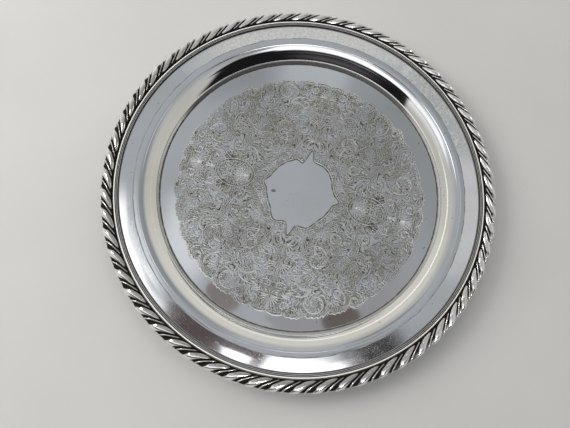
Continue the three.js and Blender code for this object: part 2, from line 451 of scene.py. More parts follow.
def all_quarters(strokes):
    """A quarter's strokes mirrored into all four."""
    flips = ((1, 1), (-1, 1), (1, -1), (-1, -1))
    return [(on_axis(points * flip), widths) for flip in flips for points, widths in strokes]


def cartouche_strokes():
    """Edge of the blank centre: a heavy cut and a thin one with a bright line between, and scrolls."""
    degrees = np.linspace(0, 360, 420)
    swell = 0.55 + 0.45 * np.sin(np.radians(degrees) * 11) ** 2
    heavy, thin = [], []
    for out, width, side in ((0.35, 1.3, heavy), (1.35, 0.6, thin), (2.1, 0.7, heavy)):
        edge = np.array([polar(cartouche_radius(a) + out, a) for a in degrees])
        side.append((on_axis(edge), width * swell))
    for k, (a, reach) in enumerate(CARTOUCHE_CURLS):
        winding = 1 if k % 2 else -1
        centre = polar(cartouche_radius(a) + reach + 0.9, a)
        points, widths = volute(centre, math.radians(a + 180), reach, 0.5, 1.1 * winding, 18, 1.0)
        heavy.append((on_axis(points), widths))
        points, widths = volute(centre, math.radians(a + 180), reach - 0.8, 0.3, 0.9 * winding, 12, 0.5)
        thin.append((on_axis(points), widths))
    return heavy, thin


def ridges(name, strokes, height):
    """Every stroke as a low closed ridge standing in the ground."""
    vertices, faces = [], []
    for points, widths in strokes:
        n, start = len(points), sum(len(v) for v in vertices)
        ahead = np.gradient(points, axis=0)
        ahead /= np.hypot(*ahead.T)[:, None] + 1e-9
        side = np.c_[-ahead[:, 1], ahead[:, 0]] * widths[:, None] / 2
        crest = GROUND_TOP + np.minimum(height, 0.2 * widths)
        rows = np.zeros((n, 3, 3))
        rows[:, 0, :2], rows[:, 1, :2], rows[:, 2, :2] = points - side, points, points + side
        rows[:, 0, 2] = rows[:, 2, 2] = LINE_FOOT
        rows[:, 1, 2] = crest
        x, y = rows[..., 0], rows[..., 1]
        rows[..., 2] += hammered(x, y, np.hypot(x, y))
        vertices.append(rows.reshape(-1, 3))
        faces += [(b, a, d, c) for a, b, c, d in (
            (start + 3 * i + p, start + 3 * i + q, start + 3 * i + 3 + q, start + 3 * i + 3 + p)
            for i in range(n - 1) for p, q in ((0, 1), (1, 2), (2, 0)))]
        end = start + 3 * n - 3
        faces += [(start, start + 1, start + 2), (end + 2, end + 1, end)]
    return solid(name, np.vstack(vertices), [f[::-1] for f in faces], sharp=12)


def make_ground():
    """Chased ground between cartouche and outline: a skin a twentieth of a millimetre proud."""
    steps, rings = 900, 26
    degrees = np.arange(steps) * 360 / steps
    inner = np.array([cartouche_radius(a) for a in degrees])
    outer = np.array([outline_radius(a) for a in degrees])
    angle = np.radians(degrees) + AXIS
    levels = [(inner + (outer - inner) * share, GROUND_TOP) for share in np.linspace(0, 1, rings)]
    levels += [(outer, GROUND_FOOT), (inner, GROUND_FOOT)]
    rows = []
    for radius, level in levels:
        x, y = radius * np.cos(angle) + PATTERN_AT[0], radius * np.sin(angle) + PATTERN_AT[1]
        rows.append(np.c_[x, y, level + hammered(x, y, np.hypot(x, y))])
    faces = grid_faces(len(rows), steps, close_rows=True, close_columns=True)
    piece = solid("engraved_ground", np.vstack(rows), faces)
    piece.data.materials.append(chased_ground)
    return piece


# ---- border ----
def make_wire():
    """Drawn wire: two fine reeds on the inside and a bigger one next to the gadroons."""
    low, high = WIRE_LOW.z / MM, WIRE_HIGH.z / MM - 0.02
    inner, reed, step = 141.25, 143.25, 0.98
    section = [[[inner, low], [inner, 16.35]]]
    for k in range(2):
        start = inner + 0.03 + step * k
        foot = 16.35 + 0.1 * k
        section.append(bend((start, foot), (start + step / 2, foot + 1.0), (start + step, foot + 0.1), 8))
    section.append(path((reed, 16.7), ((reed + 0.05, high + 0.02), (reed + 0.85, high), 10),
                        ((reed + 1.65, high - 0.02), (reed + 1.65, 16.5), 10)))
    section.append([[reed + 1.85, 16.33]])
    piece = turned("reeded_wire_reeds", np.vstack(section))
    piece.data.materials.append(border_silver)
    return piece


# Outside of a stamping over a lobe as [radius, height, depth of the grooves], foot to skirt.
SKIN_OUTSIDE = np.array([
    [145.3, 16.32, 0.0], [145.35, 17.2, 0.5], [145.9, 18.1, 1.0], [147.1, 18.78, 1.4],
    [148.6, 19.06, 1.6], [150.4, 19.0, 1.7], [152.0, 18.62, 1.75], [153.3, 17.85, 1.7],
    [154.5, 16.75, 1.6], [155.2, 15.6, 1.5], [155.42, 14.6, 1.3], [155.3, 13.8, 1.05],
    [154.95, 13.25, 0.8],
])
SKIN_INSIDE = np.array([
    [153.6, 13.22], [153.4, 14.5], [152.7, 15.9], [151.1, 16.95], [148.2, 17.1], [146.4, 16.9],
    [146.0, 16.32],
])
CORE = np.array([151.0, 15.5])  # grooves are sunk towards this point of the section
REED = (0.13, 0.078)  # middle and half width of the narrow reed, in units
LOBE = (0.635, 0.315)  # and of the wide lobe


def lean(radius):
    """How far round, in units, a gadroon has leant at a radius."""
    return np.clip((OUTER - radius) / BORDER_WIDTH, 0, 1) ** LEAN_POWER


def relief(unit, share):
    """Height of the relief, 0 to 1, across a unit and along the section from foot to skirt."""
    u = unit % 1.0
    reed = np.clip(1 - ((u - REED[0]) / REED[1]) ** 2, 0, 1) ** 0.5 * (0.74 - 0.12 * share)
    lobe = np.clip(1 - (np.abs(u - LOBE[0]) / LOBE[1]) ** 2, 0, 1) ** 0.5
    belly = 0.84 + 0.16 * np.sin(math.pi * np.clip(share * 1.15, 0, 1))
    outer_half = np.exp(-(((share - 0.62) / 0.2) ** 2))
    hollow = 0.42 * np.exp(-(((u - 0.43) / 0.12) ** 2)) * outer_half
    return np.maximum(reed, lobe * belly - hollow)


def unit_stations():
    """Places across one unit, closer together at the grooves."""
    reed = REED[0] + REED[1] * np.sin(np.linspace(-math.pi / 2, math.pi / 2, 9))
    lobe = LOBE[0] + LOBE[1] * np.sin(np.linspace(-math.pi / 2, math.pi / 2, 21))
    return np.r_[0.0, reed, 0.264, lobe]


def spline(points, count):
    """Smooth chain through the points, with even steps along it."""
    p = np.vstack([2 * points[0] - points[1], points, 2 * points[-1] - points[-2]])
    t = np.linspace(0, 1, 10, endpoint=False)[:, None]
    parts = []
    for a, b, c, d in zip(p, p[1:], p[2:], p[3:]):
        parts.append(0.5 * (2 * b + (c - a) * t + (2 * a - 5 * b + 4 * c - d) * t**2
                            + (3 * b - a - 3 * c + d) * t**3))
    chain = np.vstack(parts + [points[-1:]])
    along = np.r_[0, np.cumsum(np.hypot(*np.diff(chain[:, :2], axis=0).T))]
    wanted = np.linspace(0, along[-1], count)
    return np.stack([np.interp(wanted, along, chain[:, k]) for k in range(chain.shape[1])], -1)


def make_gadroons(index):
    """One stamped length of the border, ten leaning gadroons, an open channel underneath."""
    one = unit_stations()
    units = np.r_[np.concatenate([k + one for k in range(UNITS_EACH)]), UNITS_EACH]
    outside = spline(SKIN_OUTSIDE, 34)
    shares = np.linspace(0, 1, len(outside))
    rows, height_rows = [], []
    rng = random.Random(20 + index)
    wear = np.interp(units, range(UNITS_EACH + 1), [rng.uniform(0.9, 1) for _ in range(UNITS_EACH + 1)])
    for (radius, height, depth), share in zip(outside, shares):
        raised = relief(units, share) * wear
        drop = depth * (1 - raised)
        towards = np.array([CORE[0] - radius, CORE[1] - height if share < 0.97 else 0.0])
        towards /= np.hypot(*towards)
        rows.append((radius + towards[0] * drop, height + towards[1] * drop))
        clean = 0.5 * np.clip((share - 0.8) / 0.12, 0, 1)
        # Falling to 0 at the foot lets the material paint each lobe's foot near-black: tarnish and painted
        # shade under the lobes.
        height_rows.append((raised + clean) * np.clip((share - 0.03) / 0.13, 0, 1))
    for radius, height in SKIN_INSIDE:
        rows.append((radius + 0 * units, height + 0 * units))
        # The inside skin gets a low level, so it is painted dark: tarnish and painted shade underneath.
        height_rows.append(0.4 + 0 * units)
    vertices = []
    gap = JOINT_GAP / OUTER / UNIT
    for radius, height in rows:
        kept = np.clip(units, gap, UNITS_EACH - gap)
        angle = FIRST_JOINT + (index * UNITS_EACH + kept + lean(radius)) * UNIT
        radius = np.minimum(radius, OUTER)
        vertices.append(np.c_[radius * np.cos(angle), radius * np.sin(angle), np.minimum(height, TOP)])
    n = len(units)
    faces = grid_faces(len(rows), n, close_rows=True)
    faces.append([k * n for k in range(len(rows))][::-1])
    faces.append([k * n + n - 1 for k in range(len(rows))])
    piece = solid(f"gadroons_{index + 1}", np.vstack(vertices), faces, sharp=50)
    raised = piece.data.attributes.new("raised", "FLOAT", "POINT")
    raised.data.foreach_set("value", np.concatenate(height_rows).astype(np.float32))
    piece.data.materials.append(gadroon_silver)
    return piece


# ---- materials ----
class Nodes:
    """Short way to wire a node tree."""

    def __init__(self, tree):
        self.tree = tree

    def add(self, kind, **settings):
        node = self.tree.nodes.new(kind)
        for key, value in settings.items():
            setattr(node, key, value)
        return node

    def feed(self, socket, value):
        if isinstance(value, bpy.types.NodeSocket):
            self.tree.links.new(value, socket)
        else:
            socket.default_value = value

    def math(self, operation, a, b=0.0, clamp=False):
        node = self.add("ShaderNodeMath", operation=operation, use_clamp=clamp)
        for socket, value in zip(node.inputs, (a, b)):
            self.feed(socket, value)
        return node.outputs[0]

    def times(self, *factors):
        return functools.reduce(lambda a, b: self.math("MULTIPLY", a, b), factors)

    def most(self, *values):
        return functools.reduce(lambda a, b: self.math("MAXIMUM", a, b), values)

    def minus(self, a, b):
        return self.math("SUBTRACT", a, b)

    def plus(self, a, *more, clamp=False):
        """Sum of a value and of (value, share) pairs."""
        for value, share in more:
            a = self.math("ADD", a, self.times(value, share), clamp)
        return a

    def vector(self, operation, a, b=(0, 0, 0)):
        node = self.add("ShaderNodeVectorMath", operation=operation)
        self.feed(node.inputs[0], a)
        self.feed(node.inputs[1], b)
        return node.outputs["Value"] if operation in ("LENGTH", "DOT_PRODUCT") else node.outputs[0]

    def parts(self, vector):
        node = self.add("ShaderNodeSeparateXYZ")
        self.feed(node.inputs[0], vector)
        return node.outputs

    def between(self, value, low, high, a=0.0, b=1.0):
        """Eases from a to b while the value goes from low to high."""
        node = self.add("ShaderNodeMapRange", interpolation_type="SMOOTHSTEP")
        for socket, v in zip(node.inputs, (value, low, high, a, b)):
            self.feed(socket, v)
        return node.outputs[0]

    def mix(self, share, a, b):
        node = self.add("ShaderNodeMix", data_type="RGBA")
        self.feed(node.inputs[0], share)
        for socket, value in ((node.inputs[6], a), (node.inputs[7], b)):
            self.feed(socket, value if isinstance(value, bpy.types.NodeSocket) else (*value, 1))
        return node.outputs[2]

    def end(self, kind, share, a, b):
        """Output node that goes from shader a to shader b."""
        mixer = self.add("ShaderNodeMixShader")
        for socket, value in zip(mixer.inputs, (share, a, b)):
            self.feed(socket, value)
        self.feed(self.add(kind).inputs[0], mixer.outputs[0])


class Paint(Nodes):
    """Procedural material in object coordinates."""

    def __init__(self, name):
        self.material = bpy.data.materials.new(name)
        self.material.use_nodes = True
        super().__init__(self.material.node_tree)
        self.shader = self.tree.nodes["Principled BSDF"]
        self.place = self.add("ShaderNodeTexCoord").outputs["Object"]

    def set(self, **inputs):
        for key, value in inputs.items():
            self.feed(self.shader.inputs[key.replace("_", " ")], value)

    def stretched(self, scale, turn=0.0, where=None):
        node = self.add("ShaderNodeMapping")
        self.feed(node.inputs["Vector"], where or self.place)
        node.inputs["Scale"].default_value = scale
        node.inputs["Rotation"].default_value = (0, 0, turn)
        return node.outputs[0]

    def noise(self, scale, detail=3.0, roughness=0.5, where=None):
        """Noise with a feature size of 1/scale metres."""
        node = self.add("ShaderNodeTexNoise")
        self.feed(node.inputs["Vector"], where or self.place)
        node.inputs["Scale"].default_value = scale
        node.inputs["Detail"].default_value = detail
        node.inputs["Roughness"].default_value = roughness
        return node.outputs["Fac"]

    def ramp(self, value, *stops):
        """Piecewise linear map of a value through (position, grey or colour) stops."""
        node = self.add("ShaderNodeValToRGB")
        self.feed(node.inputs[0], value)
        elements = node.color_ramp.elements
        while len(elements) < len(stops):
            elements.new(1.0)
        for element, (position, shade) in zip(elements, stops):
            element.position = position
            element.color = (*shade, 1) if isinstance(shade, tuple) else (shade, shade, shade, 1)
        return node.outputs[0]

    def bump(self, height, strength, distance):
        node = self.add("ShaderNodeBump")
        node.inputs["Strength"].default_value = strength
        node.inputs["Distance"].default_value = distance
        self.feed(node.inputs["Height"], height)
        self.feed(self.shader.inputs["Normal"], node.outputs[0])

    def radius(self):
        """Distance from the salver's axis in metres."""
        return self.vector("LENGTH", self.vector("MULTIPLY", self.place, (1, 1, 0)))

    def ring(self, radius, at, low, high, a=0.0, b=1.0):
        """Eases from a to b while the distance from the circle of radius at goes from low to high."""
        return self.between(self.math("ABSOLUTE", self.minus(radius, at)), low, high, a, b)

    def scratches(self):
        """Fine hairlines in three directions, 0 to 1."""
        lines = []
        for turn, shift in ((0.3, 0.0), (1.35, 3.1), (2.5, 7.7)):
            where = self.vector("ADD", self.stretched((1, 0.02, 1), turn), (shift, shift, 0))
            lines.append(self.ramp(self.noise(2600, 2.0, 0.6, where), (0.66, 0.0), (0.76, 1.0)))
        return self.most(*lines)


SILVER = (0.87, 0.875, 0.88)
CREAM_FILM = (0.74, 0.72, 0.66)
# Near-black of the hollows: tarnish together with painted shade of the deep grooves.
TARNISH_AND_SHADE = (0.009, 0.007, 0.005)
ENGRAVED_DARK = (0.17, 0.163, 0.13)
TIDE_LINE = 0.1309  # radius where the chalky film begins
NEAR_FOOT, FAR_FOOT, STEP, WIRE_JOINT = 0.114, 0.1143, 0.1152, 0.1412  # radii of dark lines painted as grime and as shade
STEP_EDGE, WALL_EDGE = 0.1156, 0.1191  # radii of the edges with painted highlight lines
STAIN_AT = (-0.0222, -0.0021, 0)  # small dark mark on the blank centre


def paint_dish():
    """Polish with hairlines; chalky film outside a tide line, grime and painted shade in the corners,
    painted highlight lines on the edges.
    """
    p = Paint("polished_dish")
    radius = p.radius()
    x, y, _ = p.parts(p.place)
    across, away = (p.math("DIVIDE", part, radius) for part in (x, y))
    clouds = p.noise(22, 4.0, 0.55)
    fine = p.noise(420, 3.0, 0.6)
    speckle = p.noise(420, 5.0, 0.7)
    wander = p.times(p.minus(p.noise(75, 4.0, 0.6), 0.5), 0.0022)
    from_tide = p.minus(p.math("ADD", radius, wander), TIDE_LINE)
    outer_zone = p.times(p.between(from_tide, 0.0, 0.0003), p.between(radius, 0.141, 0.1407))
    right = p.times(p.between(away, 0.16, 0.26), p.between(across, 0.0, 0.3))
    far = p.between(away, 0.70, 0.715)
    film = p.most(p.times(far, p.between(away, 0.72, 0.93, 0.3, 1.0)),
                  p.times(right, p.between(p.noise(130, 4.0, 0.6), 0.4, 0.6, 0.35, 0.9)), 0.04)
    film = p.times(film, outer_zone, p.between(speckle, 0.36, 0.62, 0.85, 1.0))
    colour = p.mix(p.times(p.between(clouds, 0.45, 0.7), 0.3), SILVER, CREAM_FILM)
    specks = p.between(speckle, 0.42, 0.6)
    chalky = p.mix(specks, (0.81, 0.805, 0.755), (0.91, 0.905, 0.86))
    olive = p.mix(specks, (0.5, 0.5, 0.44), (0.8, 0.8, 0.76))
    colour = p.mix(film, colour, p.mix(far, olive, chalky))
    tide = p.times(p.between(p.math("ABSOLUTE", from_tide), 0.0006, 0.0001),
                   p.between(p.noise(90, 3.0, 0.6), 0.4, 0.62, 0.25, 0.8))
    colour = p.mix(tide, colour, (0.34, 0.345, 0.35))
    # Dark lines at the crease, the wall's foot, the step and the wire joint: grime and painted shade; the
    # far foot only on the far side and the near foot heavier on the near side are painted shade and painted
    # reflection.
    from_crease = p.minus(p.math("ABSOLUTE", p.minus(radius, (CREASE - 0.1) * MM)),
                          p.times(p.noise(200, 4.0, 0.6), 0.0008))
    dirt_and_shade = p.most(p.times(p.between(from_crease, 0.0006, -0.0002), 0.95),
                  p.times(p.ring(radius, NEAR_FOOT, 0.0008, 0.0002), p.between(away, -0.2, -0.7, 0.15, 0.6)),
                  p.times(p.ring(radius, FAR_FOOT, 0.0011, 0.0007),
                          p.between(away, 0.45, 0.65, 0.0, 0.85)),
                  p.times(p.ring(radius, STEP, 0.0005, 0.0001), 0.5),
                  p.times(p.ring(radius, WIRE_JOINT, 0.0006, 0.0002), 0.8))
    colour = p.mix(dirt_and_shade, colour, (0.035, 0.03, 0.024))
    # Lighter lines on the wall's upper edge (not on the far side) and on the step's edge (far side only):
    # painted highlights of these rounded edges.
    wear_and_sheen = p.most(p.times(p.ring(radius, WALL_EDGE, 0.0006, 0.0002), p.between(away, 0.4, 0.0, 0.0, 0.6)),
                  p.times(p.ring(radius, STEP_EDGE, 0.0005, 0.0002), p.between(away, 0.3, 0.6, 0.0, 0.6)))
    colour = p.mix(wear_and_sheen, colour, (0.95, 0.94, 0.9))
    pits = p.ramp(p.noise(330, 1.0, 0.4), (0.19, 1.0), (0.215, 0.0))
    colour = p.mix(p.times(pits, 0.6), colour, (0.2, 0.19, 0.18))
    from_stain = p.vector("MULTIPLY", p.vector("SUBTRACT", p.place, STAIN_AT), (1, 1.5, 0))
    stain = p.between(p.vector("LENGTH", from_stain), 0.0024, 0.0015)
    colour = p.mix(p.times(stain, 0.75), colour, (0.16, 0.18, 0.2))
    scratches = p.scratches()
    rough = p.plus(0.035, (p.between(clouds, 0.4, 0.75), 0.04), (fine, 0.025), (film, 0.16),
                   (scratches, 0.08), (dirt_and_shade, 0.45), clamp=True)
    dull = p.most(p.times(dirt_and_shade, 0.7), p.times(film, 0.4), wear_and_sheen)
    p.set(Base_Color=colour, Roughness=rough, Metallic=p.minus(1.0, dull))
    p.bump(p.minus(p.times(fine, 0.1), scratches), 0.04, 0.00004)
    return p.material


def paint_underside():
    p = Paint("dull_underside")
    clouds = p.noise(14, 5.0, 0.6)
    spots = p.between(p.noise(160, 4.0, 0.6), 0.5, 0.75)
    colour = p.mix(p.between(clouds, 0.35, 0.7), (0.72, 0.71, 0.68), (0.52, 0.49, 0.42))
    colour = p.mix(p.times(spots, 0.5), colour, (0.3, 0.26, 0.2))
    scratches = p.scratches()
    p.set(Base_Color=colour, Roughness=p.plus(0.24, (clouds, 0.18), (scratches, 0.15)), Metallic=1.0)
    p.bump(p.math("ADD", clouds, scratches), 0.15, 0.00006)
    return p.material


def folded_place(p):
    """Object coordinates turned onto the pattern's axis and mirrored into one quarter."""
    centred = p.vector("SUBTRACT", p.place, (PATTERN_AT[0] * MM, PATTERN_AT[1] * MM, 0))
    return p.vector("ABSOLUTE", p.stretched((1, 1, 1), -AXIS, centred))


def curls(p, place, scale, pitch, low, high):
    """Small spirals, one in each cell of a cellular pattern: 1 on their lines. Sizes in metres."""
    cells = p.add("ShaderNodeTexVoronoi", voronoi_dimensions="2D")
    p.feed(cells.inputs["Vector"], place)
    cells.inputs["Scale"].default_value = scale
    x, y, _ = p.parts(p.vector("SUBTRACT", place, cells.outputs["Position"]))
    angle = p.math("ARCTAN2", y, x)
    rings = p.times(cells.outputs["Distance"], 2 * math.pi / (pitch * scale))
    return p.between(p.math("SINE", p.math("ADD", rings, angle)), low, high)


def leaf_cells(p, place, scale, pitch):
    """Leaves filling a cellular pattern, each with parallel veins its own way: the veins from -1 to 1,
    two random tones for each leaf and the distance in metres from its edge."""
    cells, edges = (p.add("ShaderNodeTexVoronoi", voronoi_dimensions="2D", feature=kind)
                    for kind in ("F1", "DISTANCE_TO_EDGE"))
    for node in (cells, edges):
        p.feed(node.inputs["Vector"], place)
        node.inputs["Scale"].default_value = scale
    way, tone, kind = p.parts(cells.outputs["Color"])
    x, y, _ = p.parts(p.vector("SUBTRACT", place, cells.outputs["Position"]))
    turn = p.times(way, 2 * math.pi)
    along = p.plus(p.times(x, p.math("COSINE", turn)), (y, p.math("SINE", turn)))
    bowed = p.plus(along, (cells.outputs["Distance"], 0.6 / scale))
    veins = p.math("SINE", p.times(bowed, 2 * math.pi / pitch))
    return veins, tone, kind, p.math("DIVIDE", edges.outputs["Distance"], scale)


def paint_ground():
    """Flat-chased ground: fine dark curls on dulled silver, with denser and plainer patches."""
    p = Paint("chased_ground")
    quarter = folded_place(p)
    place = quarter
    for scale, reach in ((55, 0.022), (160, 0.007)):
        warp = p.add("ShaderNodeTexNoise")
        p.feed(warp.inputs["Vector"], quarter)
        warp.inputs["Scale"].default_value = scale
        place = p.vector("ADD", place, p.vector("MULTIPLY", warp.outputs["Color"], (reach, reach, 0)))
    veins, tone, kind, from_edge = leaf_cells(p, place, 120, 0.0018)
    small = curls(p, place, 300, 0.0015, 0.2, 0.75)
    large = curls(p, place, 150, 0.0019, 0.3, 0.8)
    cut = p.mix(p.between(kind, 0.5, 0.52), p.mix(p.between(kind, 0.25, 0.27), large, small),
                p.between(veins, 0.15, 0.7))
    dense = p.between(tone, 0.6, 0.64)
    plain = p.between(tone, 0.3, 0.27)
    cut = p.times(cut, p.minus(1.0, p.times(plain, 0.3)))
    base = p.mix(dense, (0.70, 0.70, 0.675), (0.55, 0.545, 0.505))
    base = p.mix(plain, base, (0.74, 0.75, 0.755))
    outline = p.times(p.between(from_edge, 0.0003, 0.0005), p.between(from_edge, 0.0011, 0.0009), 0.5)
    cut = p.times(cut, p.minus(1.0, outline))
    base = p.mix(outline, base, (0.84, 0.84, 0.82))
    cut = p.most(cut, p.between(from_edge, 0.0004, 0.0001, 0.0, 0.5))
    colour = p.mix(cut, base, (0.15, 0.143, 0.115))
    grain = p.noise(1500, 2.0, 0.6)
    rough = p.plus(0.36, (dense, 0.12), (plain, -0.08), (grain, 0.1))
    p.set(Base_Color=colour, Roughness=rough, Metallic=1.0)
    calm = p.minus(1.0, p.times(plain, 0.8))
    p.bump(p.times(p.minus(p.times(grain, 0.4), cut), calm), 0.3, 0.0001)
    return p.material


def paint_lines():
    """Bright crests with dark cut feet on both sides."""
    p = Paint("bright_cut")
    wear = p.noise(180, 3.0, 0.6)
    crest = p.between(p.parts(p.place)[2], (GROUND_TOP - 0.01) * MM, (GROUND_TOP + 0.05) * MM)
    bright = p.mix(p.between(wear, 0.35, 0.7), (0.9, 0.9, 0.89), (0.72, 0.715, 0.68))
    colour = p.mix(crest, ENGRAVED_DARK, bright)
    p.set(Base_Color=colour, Roughness=p.plus(0.24, (wear, 0.16)), Metallic=1.0)
    return p.material


def paint_cuts():
    p = Paint("dark_cut")
    wear = p.noise(220, 3.0, 0.6)
    colour = p.mix(p.between(wear, 0.35, 0.7), ENGRAVED_DARK, (0.27, 0.26, 0.22))
    p.set(Base_Color=colour, Roughness=p.plus(0.36, (wear, 0.16)), Metallic=1.0)
    return p.material


def paint_border(name, raised=None):
    """Silver tarnished and painted with shade in its hollows: between the gadroons, or without raised
    between the wire's reeds.
    """
    p = Paint(name)
    radius = p.radius()
    patches = p.noise(60, 4.0, 0.6)
    fine = p.noise(700, 3.0, 0.6)
    colour = p.mix(p.between(patches, 0.4, 0.75), (0.88, 0.875, 0.87), (0.72, 0.69, 0.63))
    if raised:
        level = p.add("ShaderNodeAttribute", attribute_name=raised).outputs["Fac"]
        level = p.plus(level, (p.minus(patches, 0.5), 0.35))
        towards = p.math("DIVIDE", p.vector("DOT_PRODUCT", p.place, (0.8, 0.6, 0)), radius)
        # Painted light: on the side towards the upper right, the outer half of the lobes keeps less of the
        # dark groove paint, so it reads lighter.
        lighter_right_side = p.times(p.between(radius, 0.1505, 0.1535), p.between(towards, -0.3, 0.3))
        # Grooves and low relief painted near-black: tarnish and painted shade in the hollows.
        dirt_and_shade = p.times(p.between(level, 0.66, 0.44), p.minus(1.0, p.times(lighter_right_side, 0.8)))
        # Painted shade: the inner half of the lobes on the near and left sides is greyed.
        shaded_near_left = p.times(p.between(radius, 0.1522, 0.1478), p.between(towards, 0.3, -0.4, 0.0, 0.65))
        colour = p.mix(shaded_near_left, colour, (0.33, 0.305, 0.275))
        wear_and_sheen = p.times(p.between(level, 0.55, 0.8), 0.12)
    else:
        # Grooves between the reeds and the wire's outer edge by the gadroons painted dark: tarnish and
        # painted shade.
        grooves = [p.times(p.ring(radius, at, 0.00045, 0.0003), 0.95) for at in (0.1413, 0.14225, 0.14325)]
        dirt_and_shade = p.most(p.between(radius, 0.14475, 0.145), *grooves)
        crests = ((0.14415, 0.0006, 0.85), (0.14272, 0.0003, 0.3), (0.14176, 0.0003, 0.45))
        wear_and_sheen = p.most(*(p.ring(radius, at, half, half / 2, 0.0, share) for at, half, share in crests))
        colour = p.mix(wear_and_sheen, colour, (0.93, 0.91, 0.86))
    colour = p.mix(dirt_and_shade, colour, TARNISH_AND_SHADE)
    rough = p.plus(0.08, (fine, 0.08), (dirt_and_shade, 0.4), clamp=True)
    metal = p.minus(1.0, p.most(p.times(dirt_and_shade, 0.9), wear_and_sheen))
    p.set(Base_Color=colour, Roughness=rough, Metallic=metal, Specular_IOR_Level=0.08)
    p.bump(fine, 0.1, 0.00004)
    return p.material


def paint_solder():
    p = Paint("cast_solder")
    lumps = p.noise(240, 5.0, 0.65)
    colour = p.mix(p.between(lumps, 0.3, 0.7), (0.46, 0.46, 0.45), (0.3, 0.29, 0.27))
    p.set(Base_Color=colour, Roughness=p.plus(0.45, (lumps, 0.3)), Metallic=0.9)
    p.bump(lumps, 0.5, 0.0003)
    return p.material


polished_dish = paint_dish()
dull_underside = paint_underside()
chased_ground = paint_ground()
bright_cut = paint_lines()
dark_cut = paint_cuts()
border_silver = paint_border("border_silver")
gadroon_silver = paint_border("gadroon_silver", "raised")
cast_solder = paint_solder()

# ---- the salver ----
dish = make_dish()
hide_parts("dish")

ground = make_ground()
cuts, lines, fine, leaves = (all_quarters(strokes) for strokes in quarter_pattern())
heavy, thin = cartouche_strokes()
engraving = []
for name, strokes, height, finish in (("engraved_cuts", cuts + heavy, 0.03, dark_cut),
                                      ("engraved_outlines", lines + thin, 0.1, bright_cut),
                                      ("engraved_scrolls", fine, 0.09, bright_cut),
                                      ("engraved_leaves", leaves, 0.07, bright_cut)):
    piece = ridges(name, strokes, height)
    piece.data.materials.append(finish)
    engraving.append(piece)

wire = make_wire()
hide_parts("reeded_wire")

border = []
for index in range(LENGTHS):
    length = make_gadroons(index)
    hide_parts(f"gadroon_length_{index + 1}")
    border.append(length)

for piece in (dish, ground, *engraving, wire, *border):
    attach(piece, "root")

for index in range(LENGTHS):
    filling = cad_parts[f"solder_fill_{index + 1}"]
    filling.data.materials.clear()
    filling.data.materials.append(cast_solder)

# ---- camera ----
RIM_HEIGHT = 0.0147  # level that the camera's place was solved against
RIM_RADIUS = 0.1555
PITCH, ROLL = 0.2371, -0.0523
SHIFT = (0.0867, 0.1561, 2.174)  # of the rim's centre before the lens, in rim radii
FOCAL_PIXELS, WIDE_PIXELS = 430, 570


def place_camera():
    cp, sp, cr, sr = math.cos(PITCH), math.sin(PITCH), math.cos(ROLL), math.sin(ROLL)
    tilt = Matrix(((cr, 0, sr), (0, 1, 0), (-sr, 0, cr))) @ Matrix(((1, 0, 0), (0, cp, -sp), (0, sp, cp)))
    flip = Matrix.Diagonal((1, 1, -1))
    to_camera = flip @ tilt @ flip
    offset = flip @ Vector(SHIFT) * RIM_RADIUS
    turn = to_camera.transposed()
    spot = -(turn @ offset) + Vector((0, 0, RIM_HEIGHT))
    data = bpy.data.cameras.new("camera")
    data.sensor_width = 36
    data.lens = FOCAL_PIXELS * data.sensor_width / WIDE_PIXELS
    data.clip_start, data.clip_end = 0.01, 50
    camera = into_scene("camera", data)
    camera.matrix_world = Matrix.Translation(spot) @ turn.to_4x4()
    bpy.context.scene.camera = camera


place_camera()


# ---- table ----
def make_table():
    mesh = bpy.data.meshes.new("table")
    side = 1.6
    level = -0.0002  # just clear of the dish's flat underside
    corners = [(x * side, y * side, level) for x, y in ((-1, -1), (1, -1), (1, 1), (-1, 1))]
    mesh.from_pydata(corners, [], [(0, 1, 2, 3)])
    table = into_scene("table", mesh)
    p = Paint("table_cover")
    soft = p.noise(9, 3.0, 0.5)
    grain = p.noise(900, 3.0, 0.6)
    colour = p.mix(p.between(soft, 0.3, 0.7), (0.585, 0.573, 0.553), (0.61, 0.598, 0.582))
    p.set(Base_Color=colour, Roughness=0.55)
    p.bump(grain, 0.12, 0.0002)
    mesh.materials.append(p.material)


make_table()


# ---- light ----
def lamp(name, at, aim, size, power, colour):
    data = bpy.data.lights.new(name, "AREA")
    data.shape = "RECTANGLE"
    data.size, data.size_y = size
    data.energy = power
    data.color = colour
    light = into_scene(name, data)
    light.location = at
    light.rotation_mode = "QUATERNION"
    light.rotation_quaternion = (Vector(aim) - Vector(at)).to_track_quat("-Z", "Y")
    return light


